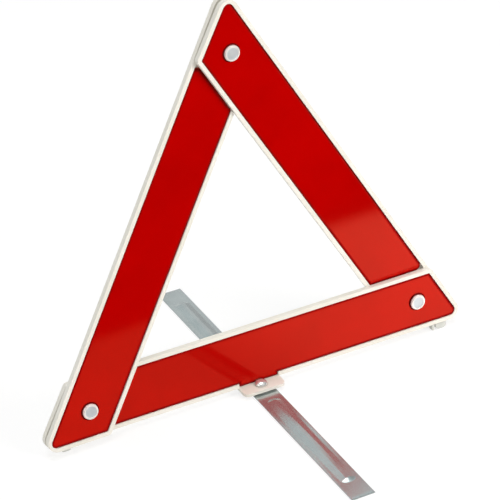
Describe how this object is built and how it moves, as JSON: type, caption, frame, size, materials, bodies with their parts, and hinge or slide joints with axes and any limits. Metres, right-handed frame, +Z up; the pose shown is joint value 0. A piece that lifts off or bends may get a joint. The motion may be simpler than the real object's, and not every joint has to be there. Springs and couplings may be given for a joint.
{
  "type": "warning triangle",
  "caption": "Folding roadside warning triangle: riveted arms with recessed red reflector lenses, standing on a swivelling steel foot strip.",
  "frame": {"origin": "on the ground, on the axis of the rivet that holds the foot strip", "axes": "+X along the base arm to its right end seen from the front, +Y to the back, +Z up; the reflecting faces look towards -Y"},
  "size_m": [0.439, 0.378, 0.3865],
  "materials": {
    "cream_plastic": "satin moulded",
    "red_lens": "glossy",
    "backing_sheet": "matt fluorescent",
    "nickel": "nickel plated",
    "zinc_steel": "zinc plated sheet",
    "foot_plastic": "moulded grey"
  },
  "bodies": {
    "base_arm": {"base_arm_housing": "cream_plastic", "base_reflector_lens": "red_lens", "base_reflector_sheet": "backing_sheet", "left_corner_rivet": "nickel", "left_layer_washer": "nickel", "left_rear_washer": "nickel", "right_corner_rivet": "nickel", "right_layer_washer": "nickel", "right_rear_washer": "nickel", "stand_rivet": "nickel", "stand_washer": "nickel", "left_foot": "foot_plastic", "strip_catch": "foot_plastic", "right_foot": "foot_plastic"},
    "left_arm": {"left_arm_housing": "cream_plastic", "left_reflector_lens": "red_lens", "left_reflector_sheet": "backing_sheet", "snap_stud": "nickel", "snap_post": "nickel"},
    "right_arm": {"right_arm_housing": "cream_plastic", "right_reflector_lens": "red_lens", "right_reflector_sheet": "backing_sheet", "snap_cap": "nickel", "snap_socket": "nickel"},
    "foot_strip": {"stand_strip": "zinc_steel"}
  },
  "joints": [
    {"name": "stand_swivel", "type": "hinge", "parent": "base_arm", "child": "foot_strip", "pos_m": [0, 0, 0.005], "axis": [0, 0, 1], "range_deg": [0, 90]},
    {"name": "left_arm_swing", "type": "hinge", "parent": "base_arm", "child": "left_arm", "pos_m": [-0.17497, 0.00388, 0.03657], "axis": [0.0141, -0.9879, 0.1548], "range_deg": [0, 120]},
    {"name": "right_arm_swing", "type": "hinge", "parent": "base_arm", "child": "right_arm", "pos_m": [0.17497, 0.01697, 0.03484], "axis": [-0.0141, 0.9942, -0.1062], "range_deg": [0, 120]}
  ]
}
